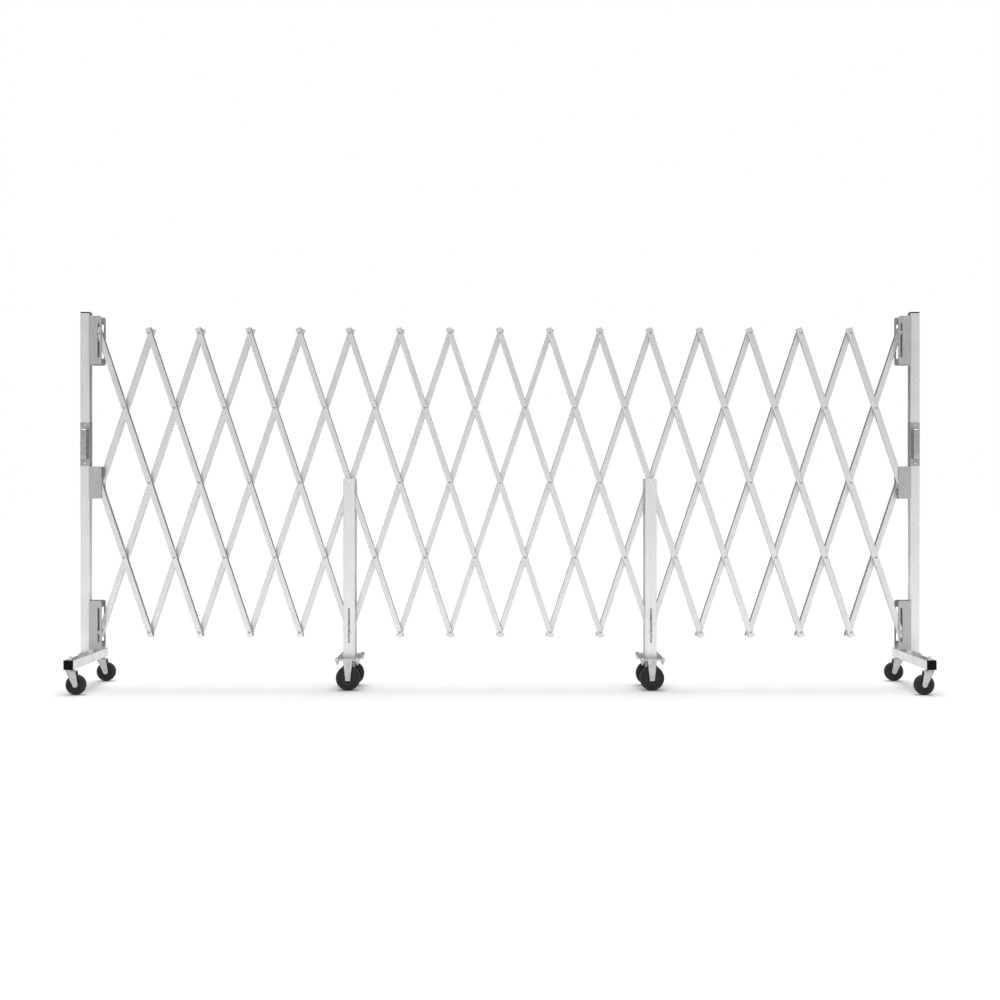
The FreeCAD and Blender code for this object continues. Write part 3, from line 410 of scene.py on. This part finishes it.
def piece(name, mesh, materials, body, replaced=(), at=(0, 0, 0), toward=(0, 0, 1)):
    """A piece of the barrier from a mesh, turned so that its Z points a given way."""
    data = bpy.data.meshes.new(name)
    mesh.to_mesh(data)
    mesh.free()
    for polygon in data.polygons:
        polygon.use_smooth = True
    data.set_sharp_from_angle(angle=math.radians(32))
    for material in materials:
        data.materials.append(material)
    made = bpy.data.objects.new(name, data)
    bpy.context.scene.collection.objects.link(made)
    made.rotation_mode = "QUATERNION"
    made.rotation_quaternion = Vector((0, 0, 1)).rotation_difference(Vector(toward))
    made.location = at
    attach(made, body)
    if replaced:
        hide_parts(*replaced)
    return made


def soften(made, width, segments=2):
    """Small rounded edges on a piece of sheet or plate."""
    rounding = made.modifiers.new("edges", "BEVEL")
    rounding.width = width
    rounding.segments = segments
    rounding.limit_method = "ANGLE"
    rounding.angle_limit = math.radians(35)
    rounding.use_clamp_overlap = False
    rounding.harden_normals = True
    return made


class Solid:
    """One solid of a CAD node: its own mesh and its box."""

    def __init__(self, mesh):
        self.mesh = mesh
        spots = [vert.co for vert in mesh.verts]
        self.low = Vector([min(spot[axis] for spot in spots) for axis in range(3)])
        self.high = Vector([max(spot[axis] for spot in spots) for axis in range(3)])
        self.middle = (self.low + self.high) / 2
        self.size = self.high - self.low


def island(seed):
    """The vertices joined to a vertex by edges."""
    found = {seed}
    waiting = [seed]
    while waiting:
        for edge in waiting.pop().link_edges:
            for vert in edge.verts:
                if vert not in found:
                    found.add(vert)
                    waiting.append(vert)
    return found


def solids(node):
    """The separate solids of a CAD node, with each flat region as one face."""
    source = bmesh.new()
    source.from_mesh(NODES[node].data)
    bmesh.ops.remove_doubles(source, verts=source.verts, dist=0.002 * MM)
    left = set(source.verts)
    found = []
    for seed in list(source.verts):
        if seed not in left:
            continue
        members = island(seed)
        left -= members
        mesh = bmesh.new()
        copies = {vert: mesh.verts.new(vert.co) for vert in source.verts if vert in members}
        for face in source.faces:
            if face.verts[0] in members:
                mesh.faces.new([copies[vert] for vert in face.verts])
        mesh.normal_update()
        bmesh.ops.dissolve_limit(
            mesh, angle_limit=math.radians(0.8), verts=mesh.verts, edges=mesh.edges
        )
        bmesh.ops.recalc_face_normals(mesh, faces=mesh.faces)
        found.append(Solid(mesh))
    source.free()
    return found


def round_bend(mesh, test, radius):
    """Round the edges whose two ends pass a test, as a bend in sheet does."""
    picked = [edge for edge in mesh.edges if test(edge.verts[0].co) and test(edge.verts[1].co)]
    bmesh.ops.bevel(
        mesh, geom=picked, offset=radius, offset_type="OFFSET", segments=5,
        profile=0.5, affect="EDGES", clamp_overlap=True,
    )


# ---- wheels ----------------------------------------------------------------------------

HUB_RADIUS = 15 * MM
BORE_RADIUS = 4.1 * MM
BUSH_RADIUS = 6.4 * MM
TREAD_HEIGHT = 13 * MM
WEB_RECESS = 5 * MM


def wheel(node, material):
    """A moulded caster wheel: crowned tread, ring grooves, dished web and a steel bush.

    A wheel's body has the same name as its node.
    """
    low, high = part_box(node)
    outside = (high.z - low.z) / 2
    half = (high.y - low.y) / 2
    rim = outside - TREAD_HEIGHT
    web = half - WEB_RECESS
    groove = 0.7 * MM
    bush = half - 0.6 * MM
    side = [
        # bush and hub
        (BORE_RADIUS, bush),
        (BUSH_RADIUS, bush),
        (BUSH_RADIUS + 0.3 * MM, half),
        (HUB_RADIUS - 1.2 * MM, half),
        (HUB_RADIUS, half - 1.2 * MM),
        # dished web
        (HUB_RADIUS + 1.8 * MM, web),
        (rim - 4.2 * MM, web),
        (rim - 1.2 * MM, half - 1.6 * MM),
        # rim with a ring groove
        (rim, half - 0.5 * MM),
        (rim + 2.2 * MM, half),
        (rim + 4.6 * MM, half),
        (rim + 5.1 * MM, half - groove),
        (rim + 6.1 * MM, half - groove),
        (rim + 6.6 * MM, half),
        # crowned tread
        (outside - 4.4 * MM, half - 0.2 * MM),
        (outside - 1.3 * MM, half - 2.2 * MM),
        (outside - 0.35 * MM, half - 5.5 * MM),
        (outside, half * 0.28),
    ]
    outline = side + [(radius, -height) for radius, height in reversed(side)]
    mesh = turned(softened_line(outline, 0.9 * MM, 3), ROUND_STEPS, closed=True)
    for face in mesh.faces:
        spot = face.calc_center_median()
        face.material_index = int(math.hypot(spot.x, spot.y) < BUSH_RADIUS + 0.05 * MM)
    middle = (low + high) / 2
    finishes = (material, FORK_ZINC)
    piece(f"{node}_moulding", mesh, finishes, node, [node], middle, (0, 1, 0))


def domed(radius, low, high, crown):
    """A button head between two heights, with a rounded edge and a crowned face."""
    rise = high - low
    edge_share = 0.2
    steps = 7
    profile = [(radius - 0.15 * MM, low), (radius, low + edge_share * rise)]
    for step in range(1, steps):
        share = step / steps
        reach = radius * math.cos(share * math.pi / 2) ** crown
        profile.append((reach, low + rise * (edge_share + (1 - edge_share) * share)))
    profile.append((0.06 * radius, high))
    return profile


def axle(name, low_y, high_y, x, z, body):
    """A riveted axle along Y with domed heads at both ends."""
    head_height = 2 * MM
    head_radius = 6 * MM
    shank_radius = 3.95 * MM
    half = (high_y - low_y) / 2
    under_head = half - head_height
    upper = [(shank_radius, under_head - 0.05 * MM)] + domed(head_radius, under_head, half, 0.45)
    mesh = turned([(radius, -height) for radius, height in reversed(upper)] + upper)
    at = (x, (low_y + high_y) / 2, z)
    piece(name, mesh, [FORK_ZINC], body, at=at, toward=(0, 1, 0))


# ---- forks -----------------------------------------------------------------------------


def fork(node, body, sheet, pin, replaced=()):
    """A pressed fork with rounded bends, and its axle."""
    top = sheet.high.z
    front = sheet.low.y
    rear = sheet.high.y
    near = 0.05 * MM

    def on_bend(spot):
        at_side = min(abs(spot.y - front), abs(spot.y - rear)) < near
        return at_side and abs(spot.z - top) < near

    round_bend(sheet.mesh, on_bend, 2.6 * MM)
    # faces between the legs and under the web get a dark zinc, painted shade inside the fork
    skin = 1.8 * MM
    for face in sheet.mesh.faces:
        spot = face.calc_center_median()
        between = front + skin < spot.y < rear - skin
        face.material_index = int(between and spot.z < top - skin)
    finishes = [FORK_ZINC, FORK_SHADE_ZINC]
    made = piece(f"{node}_sheet", sheet.mesh, finishes, body, replaced)
    soften(made, 0.4 * MM)
    axle(f"{node}_axle", pin.low.y, pin.high.y, pin.middle.x, pin.middle.z, body)


def swivel_fork(side, end):
    """The fork of an end caster, from the node's two solids."""
    node = f"{side}_{end}_caster_fork"
    sheet, pin = sorted(solids(node), key=lambda solid: -solid.size.z)
    fork(node, node, sheet, pin, [node])


# ---- bolts and stems -------------------------------------------------------------------


def plate_bolt(name, solid, plate, body):
    """A hexagon bolt through the caster plate with a tapered cap nut under it."""
    width = 14 * MM
    head = 6 * MM
    shank_radius = 4 * MM
    nut_radius = 6.9 * MM
    tip_radius = 2.5 * MM
    steps = 8
    middle = (plate.low.z + plate.high.z) / 2
    half_plate = plate.size.z / 2
    tip = solid.low.z - middle
    shoulder = -half_plate - head
    # the cap's rounded point, then its swelling side up to just inside the nut
    cap = [(tip_radius * 0.4, tip), (tip_radius * 0.8, tip + 0.5 * MM)]
    for step in range(steps + 1):
        share = step / steps
        height = tip + 1.4 * MM + (shoulder - tip - 1.3 * MM) * share
        cap.append((tip_radius + (nut_radius - tip_radius) * share**0.85, height))
    mesh = joined([
        hexagonal(width, half_plate, half_plate + head),
        hexagonal(width, shoulder, -half_plate, chamfer_low=True),
        turned([(shank_radius, -half_plate), (shank_radius, half_plate)]),
        turned(cap),
    ])
    at = (solid.middle.x, solid.middle.y, middle)
    piece(name, mesh, [FORK_ZINC], body, at=at)


def caster_frame(side):
    """Caster plate, two fixed forks and the corner bolts of one middle support."""
    node = f"{side}_support_caster_frame"
    body = f"{side}_support"
    parts = solids(node)
    plate = max(parts, key=lambda solid: solid.size.y)
    parts.remove(plate)
    for end, sign in (("front", -1), ("rear", 1)):
        own = [solid for solid in parts if solid.middle.y * sign > 0]
        sheet = max(own, key=lambda solid: solid.size.z)
        pin = max(own, key=lambda solid: solid.size.y if solid is not sheet else 0)
        fork(f"{side}_support_{end}_fork", body, sheet, pin)
        bolts = [solid for solid in own if solid is not sheet and solid is not pin]
        for solid in bolts:
            hand = "left" if solid.middle.x < plate.middle.x else "right"
            plate_bolt(f"{side}_support_{end}_{hand}_bolt", solid, plate, body)
    made = piece(f"{side}_support_plate", plate.mesh, [FORK_ZINC], body, [node])
    soften(made, 0.8 * MM, 3)


def stem(name, solid, tube, body):
    """Swivel race, kingpin, threaded stem, washer and nut of one end caster."""
    low_tube, high_tube = tube
    race = 5 * MM
    race_bore = 5 * MM
    race_top = 18 * MM
    race_waist = 15.6 * MM
    race_foot = 17.4 * MM
    washer = 2 * MM
    washer_bore = 5.2 * MM
    washer_radius = 10 * MM
    nut = 8 * MM
    kingpin_head = 3 * MM
    shank_radius = 4.9 * MM
    base = low_tube.z - solid.low.z
    top = high_tube.z - solid.low.z
    nut_foot = top + washer
    cup = softened_line([
        (race_bore, base), (race_top, base), (race_top, base - 1.6 * MM),
        (race_waist, base - 2.2 * MM), (race_waist, base - 2.8 * MM),
        (race_foot, base - 3.4 * MM), (race_foot, base - race), (race_bore, base - race),
    ], 0.5 * MM, 2)
    dome = domed(9 * MM, 0.0, kingpin_head, 0.4)
    kingpin = [(radius, kingpin_head - height) for radius, height in dome][::-1]
    ring = softened_line([
        (washer_bore, top), (washer_radius, top), (washer_radius, nut_foot), (washer_bore, nut_foot),
    ], 0.4 * MM, 3)
    mesh = joined([
        turned(cup, closed=True),
        turned(kingpin),
        turned([(shank_radius, 2 * MM), (shank_radius, nut_foot)]),
        turned(ring, closed=True),
        hexagonal(13 * MM, nut_foot, nut_foot + nut, chamfer_low=True),
        threaded(10 * MM, nut_foot, solid.size.z, 1.5 * MM),
    ])
    at = (solid.middle.x, solid.middle.y, solid.low.z)
    piece(name, mesh, [BRIGHT_ZINC], body, at=at)


HEX_HEAD = 4 * MM


def hex_bolt(name, start, toward, length, body):
    """A hexagon bolt whose head stands on a start point; its shank runs the other way."""
    face_bore = 2 * MM
    face_radius = 4.6 * MM
    face_height = 0.35 * MM
    shank_radius = 2.95 * MM
    face = softened_line([
        (face_bore, 0.0), (face_radius, 0.0), (face_radius, face_height), (face_bore, face_height),
    ], 0.1 * MM, 2)
    mesh = joined([
        hexagonal(10 * MM, 0.3 * MM, HEX_HEAD),
        turned(face, closed=True),
        turned([(shank_radius, -length), (shank_radius, 0.2 * MM)]),
    ])
    piece(name, mesh, [BRIGHT_ZINC], body, at=start, toward=toward)


def pan_screw(name, solid, body):
    """A pan-head screw with a cross recess, its head towards the front."""
    radius = solid.size.x / 2
    head = 2.4 * MM
    shank_radius = 2.45 * MM
    mesh = joined([
        turned(domed(radius, 0.0, head, 0.55)),
        turned([(shank_radius, -solid.size.y + head), (shank_radius, 0.1 * MM)]),
    ])
    at = (solid.middle.x, solid.low.y + head, solid.middle.z)
    made = piece(name, mesh, [BRIGHT_ZINC], body, at=at, toward=(0, -1, 0))
    slot_length = 5 * MM
    slot_width = 1.1 * MM
    cutter_height = 2.4 * MM
    lift = Matrix.Translation((0, 0, head + 0.1 * MM))
    slots = bmesh.new()
    for across, up in ((slot_length, slot_width), (slot_width, slot_length)):
        shape = Matrix.Diagonal((across, up, cutter_height, 1.0))
        bmesh.ops.create_cube(slots, size=1.0, matrix=lift @ shape)
    carve(made, slots)


def carve(made, cutter):
    """Take a mesh out of a piece, in the piece's own coordinates."""
    data = bpy.data.meshes.new("cutter")
    cutter.to_mesh(data)
    cutter.free()
    tool = bpy.data.objects.new("cutter", data)
    bpy.context.scene.collection.objects.link(tool)
    tool.matrix_world = made.matrix_world
    change = made.modifiers.new("recess", "BOOLEAN")
    change.operation = "DIFFERENCE"
    change.solver = "EXACT"
    change.use_self = True
    change.object = tool
    bpy.context.view_layer.update()
    graph = bpy.context.evaluated_depsgraph_get()
    result = bpy.data.meshes.new_from_object(made.evaluated_get(graph))
    made.modifiers.remove(change)
    made.data = result
    bpy.data.objects.remove(tool)


def post_furniture(side):
    """Pull handle, foot plate, screws, bolts and caster stems of one end frame."""
    node = f"{side}_handle_and_fasteners"
    body = f"{side}_end_frame"
    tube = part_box(f"{side}_foot_tube")
    parts = solids(node)
    handle = max(parts, key=lambda solid: solid.size.z)
    plate = max(parts, key=lambda solid: solid.size.y)
    made = piece(f"{side}_pull_handle", handle.mesh, [HANDLE_ZINC], body, [node])
    soften(made, 0.45 * MM)
    made = piece(f"{side}_foot_plate", plate.mesh, [FORK_ZINC], body)
    soften(made, 0.6 * MM)
    inward = 1 if side == "left" else -1
    stem_width = 30 * MM
    for solid in parts:
        if solid is handle or solid is plate:
            continue
        end = "front" if solid.middle.y < 0 else "rear"
        if solid.size.x > stem_width:
            stem(f"{side}_{end}_caster_stem", solid, tube, body)
        elif solid.middle.z > handle.low.z:
            level = "lower" if solid.middle.z < handle.middle.z else "upper"
            pan_screw(f"{side}_{level}_handle_screw", solid, body)
        elif solid.size.x > solid.size.z:
            face = solid.high.x if side == "left" else solid.low.x
            start = (face - inward * HEX_HEAD, solid.middle.y, solid.middle.z)
            hex_bolt(f"{side}_post_bolt", start, (inward, 0, 0), solid.size.x - HEX_HEAD, body)
        else:
            start = (solid.middle.x, solid.middle.y, solid.high.z - HEX_HEAD)
            hex_bolt(f"{side}_{end}_foot_bolt", start, (0, 0, 1), solid.size.z - HEX_HEAD, body)


def rounded_copy(name, node, material, body, width):
    """All solids of a CAD node as one piece with rounded edges."""
    mesh = joined([solid.mesh for solid in solids(node)])
    soften(piece(name, mesh, [material], body, [node]), width)


# ---- the barrier -----------------------------------------------------------------------


def finish_node(node, material):
    """A CAD node that stays gets its material."""
    slots = NODES[node].data.materials
    slots.clear()
    slots.append(material)


for name in NODES:
    for layer in ENDS:
        if name.startswith(f"{layer}_lath"):
            finish_node(name, LATH[layer])

for side in SIDES:
    finish_node(f"{side}_post", POST)
    finish_node(f"{side}_foot_tube", FOOT)
    finish_node(f"{side}_support_uprights", UPRIGHT)
    body = f"{side}_end_frame"
    brackets = f"{side}_guide_brackets"
    rounded_copy(f"{side}_brackets", brackets, GALVANISED, body, 0.4 * MM)
    caps = f"{side}_end_caps"
    rounded_copy(f"{side}_plastic_caps", caps, PLASTIC, body, 0.7 * MM)
    post_furniture(side)
    caster_frame(side)

END_RUBBER = rubber("end_wheel_rubber", END_WHEEL_RADIUS)
SUPPORT_RUBBER = rubber("support_wheel_rubber", SUPPORT_WHEEL_RADIUS)
for side in SIDES:
    for end in ENDS:
        swivel_fork(side, end)
        wheel(f"{side}_{end}_caster_wheel", END_RUBBER)
        wheel(f"{side}_support_{end}_wheel", SUPPORT_RUBBER)

# ---- studio ----------------------------------------------------------------------------


def studio_floor():
    """A wide pale floor."""
    mesh = bmesh.new()
    bmesh.ops.create_grid(mesh, x_segments=1, y_segments=1, size=60.0)
    data = bpy.data.meshes.new("studio_floor")
    mesh.to_mesh(data)
    mesh.free()
    finish = Finish("studio_floor_white", metallic=0.0, specular=0.0)
    cloud = finish.noise(0.6, 2.0)
    finish.link(finish.blend(cloud, grey(0.86), grey(0.88)), "Base Color")
    finish.link(finish.span(cloud, 0.3, 0.7, 0.9, 1.0), "Roughness")
    data.materials.append(finish.material)
    floor = bpy.data.objects.new("studio_floor", data)
    bpy.context.scene.collection.objects.link(floor)


def studio_world():
    """White behind the barrier; for light, brighter in front and darker at the sides and back."""
    world = bpy.data.worlds.new("studio")
    bpy.context.scene.world = world
    tree = Tree(world)
    ray = tree.add("ShaderNodeTexCoord").outputs["Generated"]
    parts = tree.add("ShaderNodeSeparateXYZ", {0: ray}).outputs
    front = tree.span(parts["Y"], 0.2, -0.95)
    level = tree.blend(front, 0.15, 0.6)
    height = tree.span(parts["Z"], 0.3, 0.95)
    level = tree.blend(height, level, 0.6)
    light = tree.add("ShaderNodeBackground", {"Strength": level})
    light.inputs["Color"].default_value = (0.985, 0.995, 1.0, 1.0)
    white = tree.add("ShaderNodeBackground")
    white.inputs["Color"].default_value = (1.0, 1.0, 1.0, 1.0)
    seen = tree.add("ShaderNodeLightPath").outputs["Is Camera Ray"]
    both = tree.add("ShaderNodeMixShader", {0: seen, 1: light.outputs[0], 2: white.outputs[0]})
    tree.add("ShaderNodeOutputWorld", {"Surface": both.outputs[0]})


def sun(name, strength, spread, turn):
    """A soft light from far off; spread and turn are in degrees."""
    data = bpy.data.lights.new(name, "SUN")
    data.energy = strength
    data.angle = math.radians(spread)
    lamp = bpy.data.objects.new(name, data)
    lamp.rotation_euler = [math.radians(angle) for angle in turn]
    bpy.context.scene.collection.objects.link(lamp)


def studio_camera():
    """A level camera in front of the barrier, at half its height."""
    data = bpy.data.cameras.new("camera")
    data.lens = 50.0
    data.sensor_width = 36.0
    data.clip_start = 0.05
    data.clip_end = 400.0
    camera = bpy.data.objects.new("camera", data)
    low, high = CAD_BOX
    distance = 5.74
    camera.location = ((low.x + high.x) / 2, (low.y + high.y) / 2 - distance, (low.z + high.z) / 2)
    camera.rotation_euler = (math.pi / 2, 0.0, 0.0)
    bpy.context.scene.collection.objects.link(camera)
    bpy.context.scene.camera = camera


studio_floor()
studio_world()
sun("overhead", strength=2.45, spread=45.0, turn=(-8.0, 0.0, 0.0))
studio_camera()
bpy.context.scene.view_settings.view_transform = "Standard"

bpy.context.view_layer.update()
